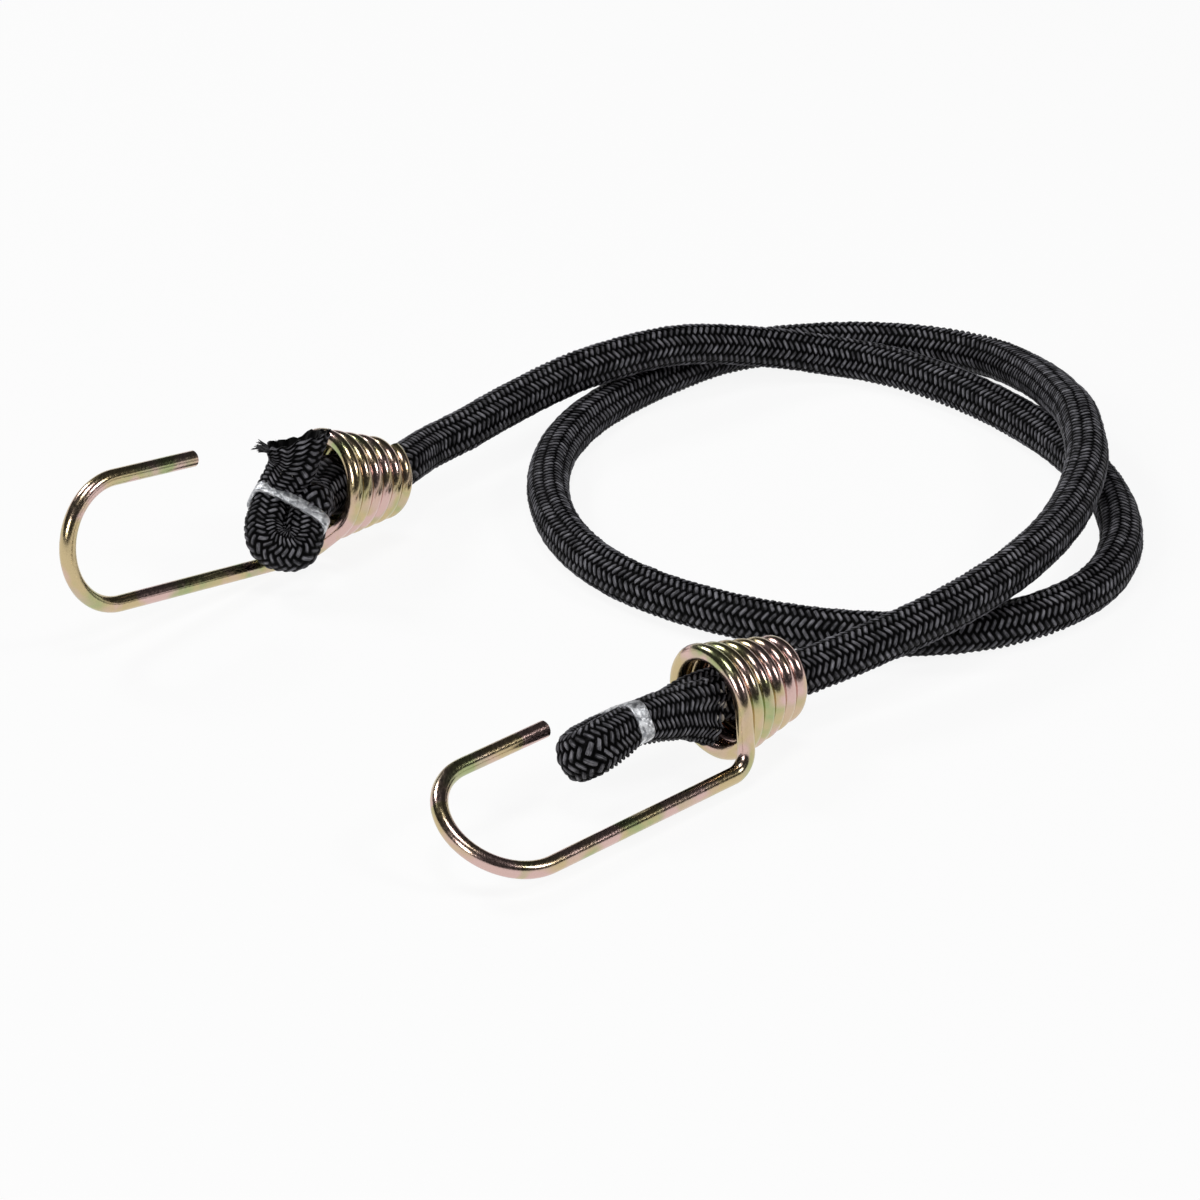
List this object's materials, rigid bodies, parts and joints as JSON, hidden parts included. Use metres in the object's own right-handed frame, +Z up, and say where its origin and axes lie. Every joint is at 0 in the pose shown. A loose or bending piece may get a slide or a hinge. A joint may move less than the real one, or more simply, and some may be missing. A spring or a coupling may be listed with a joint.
{
  "type": "bungee cord",
  "caption": "Stretchy braided cord with a coiled wire hook at each folded and clipped end, stretched between two anchor points to hold a load down.",
  "frame": {"origin": "middle of the footprint of the whole cord as it lies, on the table", "axes": "+X to the right in the picture, +Y away from the camera, +Z up"},
  "size_m": [0.2297, 0.2644, 0.037],
  "materials": {
    "black_braid": "matt black woven sleeve",
    "latex": "pale natural latex",
    "yellow_zinc": "yellow zinc plating with green and pink tints",
    "bare_steel": "dull silver zinc"
  },
  "bodies": {
    "cord": {"cord_cover": "black_braid", "cord_strand_1": "latex", "cord_strand_2": "latex", "cord_strand_3": "latex", "cord_strand_4": "latex", "cord_strand_5": "latex", "cord_strand_6": "latex", "cord_strand_7": "latex"},
    "end_a": {"knot_a_cover": "black_braid", "knot_a_strand_1": "latex", "knot_a_strand_2": "latex", "knot_a_strand_3": "latex", "knot_a_strand_4": "latex", "knot_a_strand_5": "latex", "knot_a_strand_6": "latex", "knot_a_strand_7": "latex", "clip_a": "bare_steel"},
    "end_b": {"knot_b_cover": "black_braid", "knot_b_strand_1": "latex", "knot_b_strand_2": "latex", "knot_b_strand_3": "latex", "knot_b_strand_4": "latex", "knot_b_strand_5": "latex", "knot_b_strand_6": "latex", "knot_b_strand_7": "latex", "clip_b": "bare_steel"},
    "hook_a": {"hook_a": "yellow_zinc"},
    "hook_b": {"hook_b": "yellow_zinc"}
  },
  "joints": [
    {"name": "stretch_a", "type": "slide", "parent": "cord", "child": "end_a", "axis": [-0.7083, -0.6745, 0.2084], "range_m": [0, 0.3], "stiffness_N_per_m": 650, "deforming": ["cord_cover", "cord_strand_1", "cord_strand_2", "cord_strand_3", "cord_strand_4", "cord_strand_5", "cord_strand_6", "cord_strand_7"]},
    {"name": "stretch_b", "type": "slide", "parent": "cord", "child": "end_b", "axis": [-0.7617, -0.648, 0.0021], "range_m": [0, 0.3], "stiffness_N_per_m": 650, "deforming": ["cord_cover", "cord_strand_1", "cord_strand_2", "cord_strand_3", "cord_strand_4", "cord_strand_5", "cord_strand_6", "cord_strand_7"]},
    {"name": "swivel_a", "type": "hinge", "parent": "end_a", "child": "hook_a", "pos_m": [-0.06429, 0.01854, 0.01635], "axis": [-0.7083, -0.6745, 0.2084], "range_deg": [-270, 8]},
    {"name": "swivel_b", "type": "hinge", "parent": "end_b", "child": "hook_b", "pos_m": [0.01783, -0.0771, 0.01218], "axis": [-0.7617, -0.648, 0.0021], "continuous": true}
  ]
}
